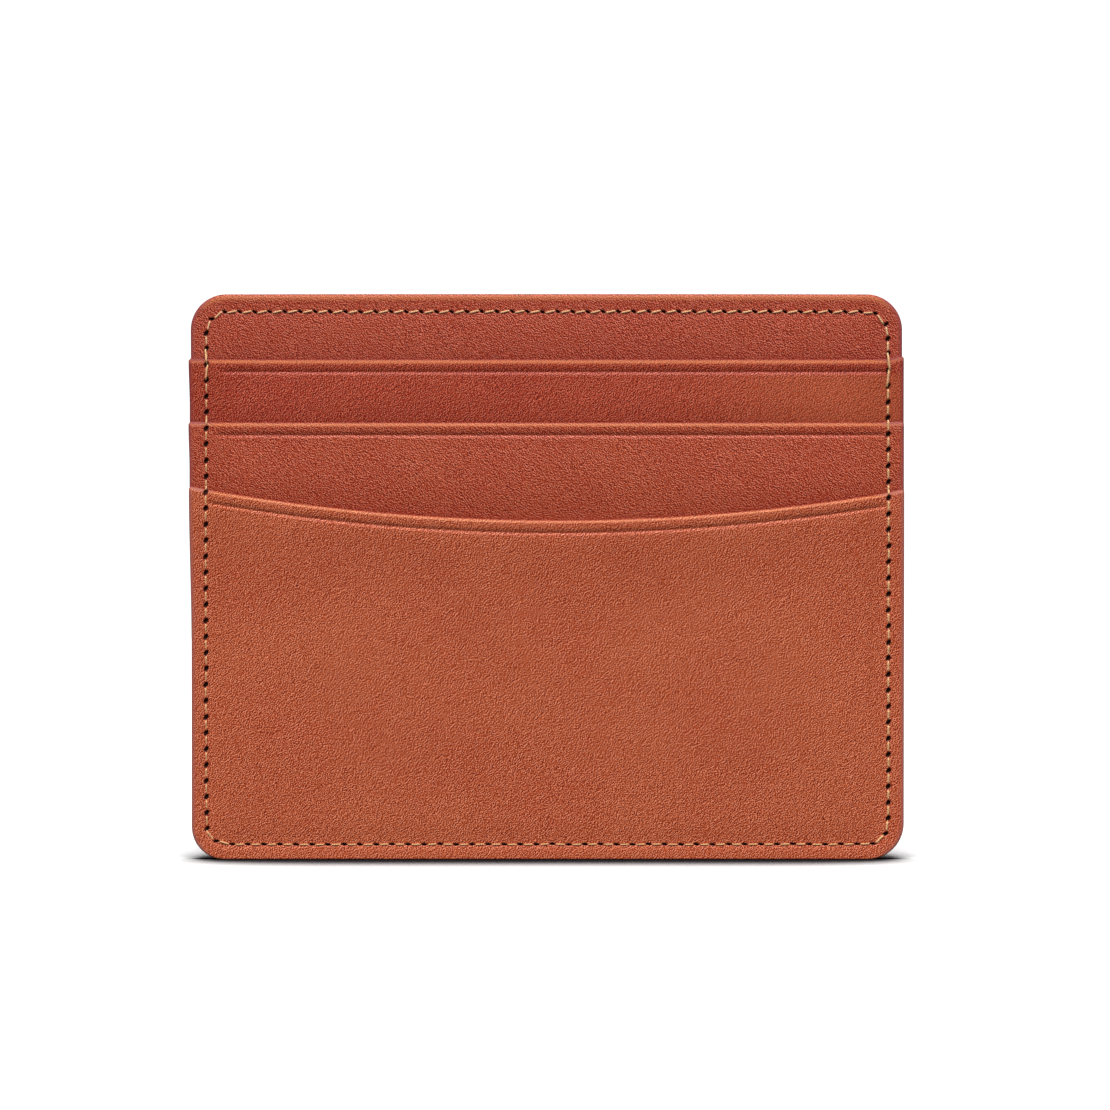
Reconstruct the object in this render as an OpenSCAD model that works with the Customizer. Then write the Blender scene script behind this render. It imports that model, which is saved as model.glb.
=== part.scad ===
// Slim leather card holder, standing on its lower edge.
// Two halves, front and back, mirror each other about the plane y = 0. Each half is a body panel with a
// cloth lining, two card slots and a larger pocket. The halves meet along both sides and the bottom,
// so the space between their linings is a note compartment that is open at the top.
// +X runs along the width, +Z is up, and the front faces -Y. Depths count outwards from y = 0.

/* [Overall size] */
// Width across the slot facings
holder_w = 100.4; // [96:0.1:106]
// Height from the bottom edge to the top edge
holder_h = 79.3; // [78:0.1:82]
// Radius of the four outer corners
corner_r = 5; // [4:0.5:7]
// How much narrower the body panels are than the slot facings
body_step = 0.6; // [0.2:0.1:1]

/* [Slots] */
// Height of the first slot's mouth at its two ends
slot_1_mouth = 70.3; // [69.5:0.1:71]
// Height of the second slot's mouth at its two ends
slot_2_mouth = 61.4; // [60.5:0.1:62.5]
// Height of the large pocket's mouth at its two ends
pocket_mouth = 52.1; // [51.5:0.1:53]
// How far the slot mouths dip in the middle
slot_dip = 0.1; // [0.1:0.1:0.8]
// How far the large pocket's mouth dips in the middle
pocket_dip = 4.5; // [3:0.1:6]
// Depth of the card slots below their mouths
slot_depth = 50.3; // [49:0.1:51]

/* [Leather and cloth] */
// Thickness of the body and pocket leather
body_t = 0.8; // [0.7:0.05:0.9]
// Thickness of the slot facing leather
facing_t = 0.6; // [0.5:0.05:0.65]
// Thickness of the lining cloth
lining_t = 0.2; // [0.15:0.05:0.25]
// Thickness of the slot tongue cloth
tongue_t = 0.15; // [0.1:0.01:0.16]
// Width of the slot tongues
tongue_w = 88; // [86:0.5:90]
// Width of the note compartment between the linings
note_gap = 0.5; // [0.4:0.1:1]

/* [Seams] */
// Distance of the side seams from the edge
side_inset = 2.3; // [1.6:0.1:2.6]
// Distance of the bottom seam from the edge
bottom_inset = 2.2; // [1.8:0.1:2.6]
// Distance of the top seam from the edge
top_inset = 2.4; // [1.8:0.1:2.6]
// Distance between needle holes
stitch_pitch = 2.2; // [1.8:0.1:3]
// Width of the sewing thread
thread_w = 0.3; // [0.2:0.05:0.4]
// Thickness of the sewing thread where it lies on a panel
thread_t = 0.14; // [0.1:0.01:0.15]

/* [Hidden] */
$fn = 64;
// Facets on the very large circles that shape the mouths
mouth_fn = 2880;
leather = [0.64, 0.30, 0.21];
facing_leather = [0.66, 0.32, 0.22];
pocket_leather = [0.69, 0.35, 0.24];
cloth = [0.33, 0.22, 0.16];
thread = [0.72, 0.49, 0.27];
// A gap that keeps two faces from overlapping
skin = 0.02;

body_w = holder_w - body_step;
// Depths of the layers behind the slots
lining_d = note_gap / 2;
body_d = lining_d + lining_t;
tongue_d = body_d + body_t;
facing_1_d = tongue_d + tongue_t;
tongue_2_d = facing_1_d;
// How far each facing reaches below the next mouth, and the narrower part of that reach
facing_1_reach = 6.4;
facing_2_reach = 6.1;
ear_cut = 3;
facing_1_low = slot_2_mouth - facing_1_reach;
facing_2_low = pocket_mouth - facing_2_reach;
// How far each tongue reaches up behind its facing
tongue_lap = 5;
// The second facing leans out over the first one's lower edge
facing_2_lean = 0.049;
facing_2_d = facing_1_d + facing_t + skin - facing_2_lean * (facing_1_low - facing_2_low);
// The large pocket leans out over both, with a little ease at its foot and at its mouth
pocket_foot_ease = 0.1;
pocket_mouth_ease = 0.05;
pocket_foot_d = tongue_d + pocket_foot_ease;
facing_2_top_d = facing_2_d + facing_2_lean * (pocket_mouth - facing_2_low) + facing_t;
pocket_top_d = facing_2_top_d + pocket_mouth_ease;
pocket_lean = (pocket_top_d - pocket_foot_d) / pocket_mouth;
// The tack seams across the lower ends of the tongues
tack_pitch = 3;
tack_length = 2.1;
tack_count = 27;
tack_inset = 1.3;
// Share of the pitch that a stitch shows between its needle holes
stitch_share = 0.7;
reach = 20;

// Outline in the XZ plane with four round corners
module rounded_outline(w, h) {
    translate([-w / 2 + corner_r, 0])
        square([w - 2 * corner_r, h]);
    translate([-w / 2, corner_r])
        square([w, h - 2 * corner_r]);
    for (x = [-w / 2 + corner_r, w / 2 - corner_r], z = [corner_r, h - corner_r])
        translate([x, z])
            circle(corner_r);
}

// The part of an outline below a mouth that dips in the middle
module below_mouth(w, mouth, dip) {
    mouth_r = (w * w / 4 + dip * dip) / (2 * dip);
    difference() {
        intersection() {
            children();
            translate([-w, -reach])
                square([2 * w, mouth + reach]);
        }
        translate([0, mouth - dip + mouth_r])
            circle(mouth_r, $fn = mouth_fn);
    }
}

// A flat sheet at depth d, from an outline in the XZ plane
module sheet(d, t) {
    translate([0, -d, 0])
        rotate([90, 0, 0])
            linear_extrude(t)
                children();
}

// A sheet whose inner face leans out from depth d at height z
module leaning_sheet(d, t, z, lean) {
    low = z - reach;
    high = holder_h;
    function inner(h) = -d - lean * (h - z);
    intersection() {
        sheet(0, reach)
            children();
        rotate([90, 0, 90])
            linear_extrude(2 * holder_w, center = true)
                polygon([
                    [inner(low), low], [inner(high), high],
                    [inner(high) - t, high], [inner(low) - t, low]
                ]);
    }
}

// Outline of a slot facing: full width below its mouth, narrower at its lower end
module facing_outline(low, mouth) {
    below_mouth(holder_w, mouth, slot_dip) {
        translate([-holder_w / 2, low + ear_cut])
            square([holder_w, mouth - low - ear_cut]);
        translate([-tongue_w / 2, low])
            square([tongue_w, mouth - low]);
    }
}

// Places one child at each stitch of a tack seam at height z
module tack_row(z) {
    for (i = [0 : tack_count - 1])
        translate([(i - (tack_count - 1) / 2) * tack_pitch, z])
            children();
}

module tongue(d, low, high) {
    color(cloth)
        sheet(d, tongue_t)
            difference() {
                translate([-tongue_w / 2, low])
                    square([tongue_w, high - low]);
                tack_row(low + tack_inset)
                    square([tack_length + 2 * skin, thread_w + 2 * skin], center = true);
            }
}

module tack_thread(d, low) {
    color(thread)
        sheet(d, tongue_t)
            tack_row(low + tack_inset)
                square([tack_length, thread_w], center = true);
}

module body_panel() {
    color(leather)
        sheet(body_d, body_t)
            rounded_outline(body_w, holder_h);
}

module body_lining() {
    color(cloth)
        sheet(lining_d, lining_t)
            rounded_outline(body_w, holder_h);
}

module slot_1_facing() {
    color(facing_leather)
        sheet(facing_1_d, facing_t)
            facing_outline(facing_1_low, slot_1_mouth);
}

module slot_2_facing() {
    color(facing_leather)
        leaning_sheet(facing_2_d, facing_t, facing_2_low, facing_2_lean)
            facing_outline(facing_2_low, slot_2_mouth);
}

module pocket_panel() {
    color(pocket_leather)
        leaning_sheet(pocket_foot_d, body_t, 0, pocket_lean)
            below_mouth(holder_w, pocket_mouth, pocket_dip)
                rounded_outline(holder_w, holder_h);
}

// Depth of the outermost face at a height on the side margins
function outer_face(z) =
    z < pocket_mouth ? pocket_foot_d + body_t + pocket_lean * z :
    z < slot_2_mouth ? facing_2_d + facing_t + facing_2_lean * (z - facing_2_low) :
    facing_1_d + facing_t;
function outer_lean(z) =
    z < pocket_mouth ? pocket_lean : z < slot_2_mouth ? facing_2_lean : 0;

// A point on a U-shaped seam: [x, height above the U's base, direction], at distance s along it.
// The U has straight sides of length side, a base of length base and quarter turns of radius r.
function u_seam(s, side, base, r) =
    let (turn = PI * r / 2, half = base / 2)
    s < side ? [-half - r, side + r - s, -90] :
    s < side + turn ? let (a = 180 + 90 * (s - side) / turn) [-half + r * cos(a), r + r * sin(a), a + 90] :
    s < side + turn + base ? [-half + s - side - turn, 0, 0] :
    s < side + 2 * turn + base ?
        let (a = 270 + 90 * (s - side - turn - base) / turn) [half + r * cos(a), r + r * sin(a), a + 90] :
    [half + r, r + s - side - 2 * turn - base, 90];

// One stitch lying on a face that leans outwards, with its middle at the origin
module stitch(length, direction, lean) {
    rotate([atan(lean), 0, 0])
        rotate([0, -direction, 0])
            translate([-length / 2, -thread_t, -thread_w / 2])
                cube([length, thread_t, thread_w]);
}

// The visible thread along the sides and the bottom
module body_seam() {
    r = corner_r - side_inset;
    base = holder_w - 2 * corner_r;
    side = slot_1_mouth - bottom_inset - r;
    length = 2 * side + base + PI * r;
    count = round(length / stitch_pitch);
    color(thread)
        for (i = [0 : count - 1]) {
            p = u_seam((i + 0.5) * length / count, side, base, r);
            z = p[1] + bottom_inset;
            translate([p[0], -outer_face(z) - skin, z])
                stitch(stitch_share * length / count, p[2], outer_lean(z));
        }
}

// The thread around the top edge, with its inner face at depth d
module top_seam(d) {
    r = corner_r - side_inset;
    base = holder_w - 2 * corner_r;
    side = holder_h - top_inset - r - slot_1_mouth;
    length = 2 * side + base + PI * r;
    count = round(length / stitch_pitch);
    color(thread)
        for (i = [0 : count - 1]) {
            p = u_seam((i + 0.5) * length / count, side, base, r);
            translate([p[0], -d, holder_h - top_inset - p[1]])
                stitch(stitch_share * length / count, -p[2], 0);
        }
}

module back() {
    mirror([0, 1, 0])
        children();
}

module front_body_panel() body_panel();
module front_body_lining() body_lining();
module front_slot_1_facing() slot_1_facing();
module front_slot_1_tongue() tongue(tongue_d, slot_1_mouth - slot_depth, facing_1_low + tongue_lap);
module front_slot_1_tack_thread() tack_thread(tongue_d, slot_1_mouth - slot_depth);
module front_slot_2_facing() slot_2_facing();
module front_slot_2_tongue() tongue(tongue_2_d, slot_2_mouth - slot_depth, facing_2_low + tongue_lap);
module front_slot_2_tack_thread() tack_thread(tongue_2_d, slot_2_mouth - slot_depth);
module front_pocket_panel() pocket_panel();
module front_top_needle_thread() top_seam(tongue_d + skin);
module front_top_bobbin_thread() top_seam(lining_d - skin - thread_t);
module back_body_panel() back() front_body_panel();
module back_body_lining() back() front_body_lining();
module back_slot_1_facing() back() front_slot_1_facing();
module back_slot_1_tongue() back() front_slot_1_tongue();
module back_slot_1_tack_thread() back() front_slot_1_tack_thread();
module back_slot_2_facing() back() front_slot_2_facing();
module back_slot_2_tongue() back() front_slot_2_tongue();
module back_slot_2_tack_thread() back() front_slot_2_tack_thread();
module back_pocket_panel() back() front_pocket_panel();
module back_top_needle_thread() back() front_top_needle_thread();
module back_top_bobbin_thread() back() front_top_bobbin_thread();
module body_seam_needle_thread() body_seam();
module body_seam_bobbin_thread() back() body_seam();

front_body_panel();
front_body_lining();
front_slot_1_facing();
front_slot_1_tongue();
front_slot_1_tack_thread();
front_slot_2_facing();
front_slot_2_tongue();
front_slot_2_tack_thread();
front_pocket_panel();
front_top_needle_thread();
front_top_bobbin_thread();
back_body_panel();
back_body_lining();
back_slot_1_facing();
back_slot_1_tongue();
back_slot_1_tack_thread();
back_slot_2_facing();
back_slot_2_tongue();
back_slot_2_tack_thread();
back_pocket_panel();
back_top_needle_thread();
back_top_bobbin_thread();
body_seam_needle_thread();
body_seam_bobbin_thread();
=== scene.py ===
"""Looks of the card holder: soft leather panels, cloth, stitches, materials, floor, lights and camera.

Every CAD plate is replaced by a fine closed mesh of the same piece. Lengths in this file are in millimetres
unless a name ends in _M. x runs along the width, z is up, and depths count outwards from the middle plane,
so the front half lies at negative y and the back half is its mirror image.
"""

import math

import bpy
import numpy as np
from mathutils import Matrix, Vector
from mathutils.geometry import delaunay_2d_cdt


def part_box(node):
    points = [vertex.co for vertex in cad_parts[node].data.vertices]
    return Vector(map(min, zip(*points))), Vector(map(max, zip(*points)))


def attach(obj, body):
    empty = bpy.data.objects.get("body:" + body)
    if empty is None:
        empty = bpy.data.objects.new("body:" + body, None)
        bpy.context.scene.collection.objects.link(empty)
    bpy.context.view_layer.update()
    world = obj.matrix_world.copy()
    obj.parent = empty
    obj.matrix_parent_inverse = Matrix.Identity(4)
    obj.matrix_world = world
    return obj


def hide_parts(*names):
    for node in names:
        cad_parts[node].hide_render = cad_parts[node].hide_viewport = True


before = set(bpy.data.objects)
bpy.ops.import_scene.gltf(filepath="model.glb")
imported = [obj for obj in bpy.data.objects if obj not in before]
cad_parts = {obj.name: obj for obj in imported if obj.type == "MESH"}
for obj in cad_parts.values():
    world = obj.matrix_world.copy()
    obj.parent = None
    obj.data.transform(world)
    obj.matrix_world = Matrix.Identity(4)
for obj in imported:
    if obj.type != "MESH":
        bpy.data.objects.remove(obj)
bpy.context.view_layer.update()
MM = 0.001

# ---- sizes, from the frame


def span(node, axis):
    """Lowest and highest coordinate of a CAD node along an axis, in millimetres."""
    low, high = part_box(node)
    return low[axis] / MM, high[axis] / MM


def size(node, axis):
    """Size of a CAD node along an axis, in millimetres."""
    low, high = span(node, axis)
    return high - low


WIDTH = size("front_slot_1_facing", 0)
BODY_WIDTH = size("front_body_panel", 0)
HEIGHT = span("front_body_panel", 2)[1]
TONGUE_WIDTH = size("front_slot_1_tongue", 0)
MOUTH_1 = span("front_slot_1_facing", 2)[1]
MOUTH_2 = span("front_slot_2_facing", 2)[1]
MOUTH_3 = span("front_pocket_panel", 2)[1]
FACING_1_LOW = span("front_slot_1_facing", 2)[0]
FACING_2_LOW = span("front_slot_2_facing", 2)[0]
TONGUE_1_Z = span("front_slot_1_tongue", 2)
TONGUE_2_Z = span("front_slot_2_tongue", 2)
BODY_T = size("front_body_panel", 1)
FACING_T = size("front_slot_1_facing", 1)
LINING_T = size("front_body_lining", 1)
TONGUE_T = size("front_slot_1_tongue", 1)
NOTE_GAP = -2 * span("front_body_lining", 1)[1]

CORNER_R = 5.0
LEFT_FOOT_R = 4.6
RIGHT_FOOT_R = 5.1
POCKET_DIP = 4.5
EAR_CUT = 3.0
SEAM_LEFT = 2.55
SEAM_RIGHT = 2.2
SEAM_BOTTOM = 2.15
SEAM_TOP = 2.5
SEAM_TURN = 2.9
LEFT_START_Z = MOUTH_1 + 1.4
RIGHT_START_Z = MOUTH_1 + 0.6
PITCH = 2.24
TOP_PITCH = 2.115
SKIVED = 0.18
SIDE_VALLEY = 0.13
TOP_VALLEY = 0.1
CLEAR = 0.012
BODY_CROWN = 0.08
STRIP_CROWN = 0.12
POCKET_CROWN = 0.06
SLOT_OPEN = 0.14
POCKET_OPEN = 0.16
NOTE_CLOSED = 0.006
BOBBIN_ROOM = 0.22

# ---- small maths


def smooth(a, b, x):
    """0 below a, 1 above b, with an even turn between."""
    t = np.clip((np.asarray(x, float) - a) / (b - a), 0.0, 1.0)
    return t * t * (3 - 2 * t)


def bump(x, width):
    """A round bump of height 1 at 0."""
    return np.exp(-((np.asarray(x, float) / width) ** 2))


def dent(distance, within, beyond):
    """A smooth dent of depth 1 along a line, with a width of its own on each side."""
    return np.exp(-((distance / np.where(distance > 0, within, beyond)) ** 2))


def round_box(x, z, low, high, r):
    """Distance inwards from a round-cornered box that spans low to high."""
    qx = np.abs(x - (low[0] + high[0]) / 2) - ((high[0] - low[0]) / 2 - r)
    qz = np.abs(z - (low[1] + high[1]) / 2) - ((high[1] - low[1]) / 2 - r)
    outside = np.hypot(np.maximum(qx, 0), np.maximum(qz, 0))
    return r - outside - np.minimum(np.maximum(qx, qz), 0)


def ripple(x, z, seed):
    """Slow unevenness of hand-made leather, about -1 to 1."""
    rng = np.random.default_rng(seed)
    total = np.zeros_like(np.asarray(x, float))
    for wave in range(7):
        angle, phase = rng.uniform(0, 2 * math.pi, 2)
        length = 11.0 + 5.0 * wave
        total += np.sin((x * math.cos(angle) + z * math.sin(angle)) * 2 * math.pi / length + phase)
    return total / 3.5


# ---- depths of the layers


def seam_distance(x, z):
    """Distance inwards from the seam along the sides and the bottom, negative outside it."""
    low = (-WIDTH / 2 + SEAM_LEFT, SEAM_BOTTOM)
    high = (WIDTH / 2 - SEAM_RIGHT, HEIGHT + 40)
    return round_box(x, z, low, high, SEAM_TURN)


def top_seam_distance(x, z):
    """Distance inwards from the seam around the top, negative outside it."""
    low = (-WIDTH / 2 + SEAM_LEFT, -40)
    high = (WIDTH / 2 - SEAM_RIGHT, HEIGHT - SEAM_TOP)
    return round_box(x, z, low, high, SEAM_TURN)


def loose(x, z):
    """0 in the margins that the seam presses together, 1 well inside."""
    return smooth(0.0, 15.0, seam_distance(x, z)) * smooth(SEAM_BOTTOM, 34.0, z)


def valley(x, z):
    """How far the seams draw the leather in."""
    side = SIDE_VALLEY * dent(seam_distance(x, z), 2.0, 0.5)
    top = TOP_VALLEY * dent(top_seam_distance(x, z), 0.9, 1.6) * smooth(MOUTH_1, MOUTH_1 + 1.5, z)
    return np.maximum(side, top)


def margin(x, z):
    """1 in the side margins, where the leather is skived thinner, 0 inside."""
    return smooth(WIDTH / 2 - 9.0, WIDTH / 2 - 2.5, np.abs(x))


def tongue_cover(x, z, reach):
    """1 where a tongue lies, fading out beyond its edges, since the leather over it bridges the step."""
    across = 1 - smooth(TONGUE_WIDTH / 2 + 0.3, TONGUE_WIDTH / 2 + 3.5, np.abs(x))
    return across * smooth(reach[0] - 16, reach[0] - 0.3, z) * (1 - smooth(reach[1] + 0.3, reach[1] + 9, z))


def facing_cover(x, z, low, foot):
    """1 where a facing lies behind the next layer, which then leans back evenly to nothing at the foot."""
    end = low + EAR_CUT * smooth(TONGUE_WIDTH / 2 - 1.5, TONGUE_WIDTH / 2 + 1.5, np.abs(x))
    t = (z - foot) / (end - foot)
    return np.clip(np.minimum(t, 1.0) - 0.02 * bump(t - 1, 0.06), 0, 1)


class Mouth:
    """The upper edge of a panel: its bow, lean and raised right end, its crease, its rub with painted
    highlight, its bevel, and how much lighter it is towards the right.
    """

    def __init__(self, top, dip, power, lean, ear, crease_from, rub_and_highlight, bevel, lighter_right):
        self.top = top
        self.dip = dip
        self.power = power
        self.lean = lean
        self.ear = ear
        self.crease_from = crease_from
        self.rub_and_highlight = rub_and_highlight
        self.bevel = bevel
        self.lighter_right = lighter_right

    def height(self, x):
        across = 2 * np.asarray(x, float) / WIDTH
        bow = self.dip * (1 - np.abs(across) ** self.power)
        return self.top - bow + self.lean * across + self.ear * smooth(0.95, 1.0, across)

    def slope(self, x):
        return (self.height(x + 0.1) - self.height(x - 0.1)) / 0.2

    def below(self, x, z):
        """Distance below the edge, square to it."""
        return (self.height(x) - z) / np.sqrt(1 + self.slope(x) ** 2)

    def creased(self, x):
        """1 along the creased line, 0 in the margins where it has not begun."""
        left = smooth(self.crease_from - 0.8, self.crease_from + 0.8, x + WIDTH / 2)
        return left * smooth(2.0, 3.4, WIDTH / 2 - x)


SLOT_1 = Mouth(
    MOUTH_1, dip=0.16, power=8, lean=0.0, ear=0.35, crease_from=4.9, rub_and_highlight=1.2, bevel=0.76, lighter_right=0.36
)
SLOT_2 = Mouth(
    MOUTH_2, dip=0.13, power=8, lean=0.0, ear=0.05, crease_from=4.1, rub_and_highlight=1.0, bevel=0.68, lighter_right=0.0
)
POCKET = Mouth(
    MOUTH_3, dip=POCKET_DIP, power=2, lean=-0.26, ear=0.1, crease_from=2.9, rub_and_highlight=0.7, bevel=0.54, lighter_right=0.0
)


def lift(x, z, mouth, amount):
    """How far an empty slot's mouth stands open."""
    return amount * loose(x, z) * smooth(mouth - 14, mouth, z) * (1 - (2 * x / WIDTH) ** 2)


def strip_crown(x, z, low, high, amount):
    """The slight crown of the strip that shows between two mouths."""
    t = np.clip((z - low) / (high - low), 0, 1)
    return amount * 4 * t * (1 - t) * smooth(-0.5, 5, seam_distance(x, z))


def depth_lining_in(x, z):
    """The note compartment's wall: closed at the seams, open at the top, with room for its stitches."""
    opening = (0.35 + 0.65 * smooth(0, HEIGHT, z)) * (1 - 0.55 * (2 * x / WIDTH) ** 2)
    held = 1.35 * NOTE_GAP * loose(x, z) * opening + 0.05 * ripple(x, z, 3) * loose(x, z)
    return NOTE_CLOSED + np.maximum(held, BOBBIN_ROOM * smooth(MOUTH_1 - 9.0, MOUTH_1 + 0.5, z))


def depth_lining_out(x, z):
    return depth_lining_in(x, z) + LINING_T


def depth_body(x, z):
    base = depth_lining_out(x, z) + BODY_T - SKIVED * margin(x, z)
    return base + strip_crown(x, z, MOUTH_1 - 1.5, HEIGHT, BODY_CROWN)


def depth_tongue_1(x, z):
    return depth_body(x, z) + (TONGUE_T + CLEAR) * tongue_cover(x, z, TONGUE_1_Z)


def depth_facing_1_in(x, z):
    return depth_tongue_1(x, z) + lift(x, z, MOUTH_1, SLOT_OPEN)


def depth_facing_1(x, z):
    return depth_facing_1_in(x, z) + facing_thickness(x, z) + crown_1(x, z)


def facing_thickness(x, z):
    return FACING_T - SKIVED * margin(x, z)


def crown_1(x, z):
    return strip_crown(x, z, MOUTH_2 - 2, MOUTH_1 - 1.6, STRIP_CROWN)


def crown_2(x, z):
    return strip_crown(x, z, MOUTH_3 - 4, MOUTH_2 - 1.6, STRIP_CROWN)


def depth_under_2(x, z):
    """What the second tongue lies on: the first tongue, and the first facing's lower end."""
    return depth_tongue_1(x, z) + facing_thickness(x, z) * facing_cover(x, z, FACING_1_LOW, FACING_1_LOW - 25)


def depth_tongue_2(x, z):
    return depth_under_2(x, z) + (TONGUE_T + CLEAR) * tongue_cover(x, z, TONGUE_2_Z)


def depth_facing_2_in(x, z):
    opened = lift(x, z, MOUTH_1, SLOT_OPEN) + lift(x, z, MOUTH_2, SLOT_OPEN)
    return depth_tongue_2(x, z) + crown_1(x, z) + opened


def depth_facing_2(x, z):
    return depth_facing_2_in(x, z) + facing_thickness(x, z) + crown_2(x, z)


def depth_pocket_in(x, z):
    tongues = tongue_cover(x, z, TONGUE_1_Z) + tongue_cover(x, z, TONGUE_2_Z)
    facings = facing_cover(x, z, FACING_1_LOW, SEAM_BOTTOM) + facing_cover(x, z, FACING_2_LOW, SEAM_BOTTOM)
    opened = lift(x, z, MOUTH_1, SLOT_OPEN) + lift(x, z, MOUTH_2, SLOT_OPEN)
    opened = opened + lift(x, z, MOUTH_3, POCKET_OPEN)
    under = depth_body(x, z) + (TONGUE_T + CLEAR) * tongues + facing_thickness(x, z) * facings
    return under + opened + crown_1(x, z) + crown_2(x, z)


def depth_pocket(x, z):
    plump = POCKET_CROWN * loose(x, z) * (1 - smooth(24, 52, z))
    uneven = 0.03 * ripple(x, z, 11) * loose(x, z)
    return depth_pocket_in(x, z) + BODY_T - SKIVED * margin(x, z) + plump + uneven


# ---- the seams


def u_path(pitch, left, right, base, r):
    """Places along a U-shaped seam with a left and a right side, as (x, height above its base, direction)."""
    turn = math.pi * r / 2
    length = left + right + base + 2 * turn
    half = base / 2
    count = round(length / pitch)
    places = []
    for i in range(count + 1):
        s = length * i / count
        if s < left:
            places.append((-half - r, left + r - s, -math.pi / 2))
        elif s < left + turn:
            a = math.pi + (s - left) / r
            places.append((-half + r * math.cos(a), r + r * math.sin(a), a + math.pi / 2))
        elif s < left + turn + base:
            places.append((-half + s - left - turn, 0.0, 0.0))
        elif s < left + 2 * turn + base:
            a = 1.5 * math.pi + (s - left - turn - base) / r
            places.append((half + r * math.cos(a), r + r * math.sin(a), a + math.pi / 2))
        else:
            places.append((half + r, r + s - left - 2 * turn - base, math.pi / 2))
    return places


SEAM_MIDDLE = (SEAM_LEFT - SEAM_RIGHT) / 2
SEAM_BASE = WIDTH - SEAM_LEFT - SEAM_RIGHT - 2 * SEAM_TURN


def jitter(places, seed, amount):
    """Moves needle holes a little, as on a sewn seam."""
    rng = np.random.default_rng(seed)
    shifts = rng.normal(0, amount, (len(places), 2))
    return [(x + dx, z + dz, a) for (x, z, a), (dx, dz) in zip(places, shifts)]


def body_seam_holes():
    foot = SEAM_BOTTOM + SEAM_TURN
    path = u_path(PITCH, LEFT_START_Z - foot, RIGHT_START_Z - foot, SEAM_BASE, SEAM_TURN)
    places = [(x + SEAM_MIDDLE, z + SEAM_BOTTOM, a) for x, z, a in path]
    return jitter(places, 5, 0.025)


def top_seam_holes():
    foot = HEIGHT - SEAM_TOP - SEAM_TURN
    path = u_path(TOP_PITCH, foot - LEFT_START_Z, foot - RIGHT_START_Z, SEAM_BASE, SEAM_TURN)
    places = [(x + SEAM_MIDDLE, HEIGHT - SEAM_TOP - z, -a) for x, z, a in path]
    return jitter(places, 6, 0.02)


BODY_HOLES = body_seam_holes()
TOP_HOLES = top_seam_holes()
PIT_DEPTH = 0.36
SIDE_SLIT = (58.0, 0.47, 0.31)
BOTTOM_SLIT = (-4.0, 0.45, 0.17)
TOP_SLIT = (-28.0, 0.43, 0.18)


def slit(hole, level):
    """The needle slit at a hole: its place, direction, half length and half width."""
    x, z, along = hole
    part = abs(math.cos(along))
    angle, long, wide = (part * a + (1 - part) * b for a, b in zip(level, SIDE_SLIT))
    return x, z, math.radians(angle), long, wide


SLITS = [slit(hole, BOTTOM_SLIT) for hole in BODY_HOLES]
SLITS += [slit(hole, TOP_SLIT) for hole in TOP_HOLES[1:-1]]


def slit_radius(x, z):
    """Elliptic distance to the nearest needle slit: 1 on its rim."""
    nearest = np.full(len(x), 99.0)
    for cx, cz, angle, long, wide in SLITS:
        near = (np.abs(x - cx) < 1.6) & (np.abs(z - cz) < 1.6)
        dx = x[near] - cx
        dz = z[near] - cz
        along = dx * math.cos(angle) + dz * math.sin(angle)
        across = dz * math.cos(angle) - dx * math.sin(angle)
        nearest[near] = np.minimum(nearest[near], np.hypot(along / long, across / wide))
    return nearest


# ---- outlines


def arc(cx, cz, r, start, end, step=0.35):
    """Points along an arc, ends included."""
    count = max(3, int(abs(math.radians(end - start)) * r / step))
    angles = np.radians(np.linspace(start, end, count + 1))
    return [(cx + r * math.cos(a), cz + r * math.sin(a)) for a in angles]


def fill_line(points, step=0.5):
    """A closed outline with points no further apart than step."""
    filled = []
    for (ax, az), (bx, bz) in zip(points, points[1:] + points[:1]):
        parts = max(1, math.ceil(math.hypot(bx - ax, bz - az) / step))
        filled += [(ax + (bx - ax) * i / parts, az + (bz - az) * i / parts) for i in range(parts)]
    return filled


def mouth_line(mouth, half, step=0.5):
    """Points along a mouth from right to left."""
    xs = np.linspace(half, -half, int(2 * half / step) + 1)
    return [(x, float(mouth.height(x))) for x in xs]


def drawn_in(outline, top, least, most, run, right=0.0):
    """An outline whose left side is drawn in, more and more down from its top, and whose right is moved."""
    def shift(x, z):
        inset = least + (most - least) * smooth(0, run, top - z)
        return float(inset * smooth(30, 48, -x) + right * smooth(30, 48, x))
    return [(x + shift(x, z), z) for x, z in outline]


def feet(half, inset=0.0):
    """The two bottom corners of a panel, from the left to the right."""
    left, right = LEFT_FOOT_R - inset, RIGHT_FOOT_R - inset
    return arc(left - half, inset + left, left, 180, 270) + arc(half - right, inset + right, right, 270, 360)


def body_outline(inset=0.0):
    half = BODY_WIDTH / 2 - inset
    r = CORNER_R - inset
    top = HEIGHT - inset
    cx = half - r
    shoulders = arc(cx, top - r, r, 0, 90) + arc(-cx, top - r, r, 90, 180)
    return drawn_in(fill_line(feet(half, inset) + shoulders), HEIGHT, 0.0, 0.3, 45, 0.1)


def facing_outline(low, mouth):
    half = WIDTH / 2
    ear = low + EAR_CUT
    neck = TONGUE_WIDTH / 2
    tip = 0.3
    right = (half, float(mouth.height(half)) - tip)
    left = (-half, float(mouth.height(-half)) - tip)
    corners = [(-neck, low), (neck, low), (neck, ear), (half, ear), right]
    outline = fill_line(corners + mouth_line(mouth, half - tip) + [left, (-half, ear), (-neck, ear)])
    return drawn_in(outline, mouth.top, 0.05, 0.2, 7)


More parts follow.
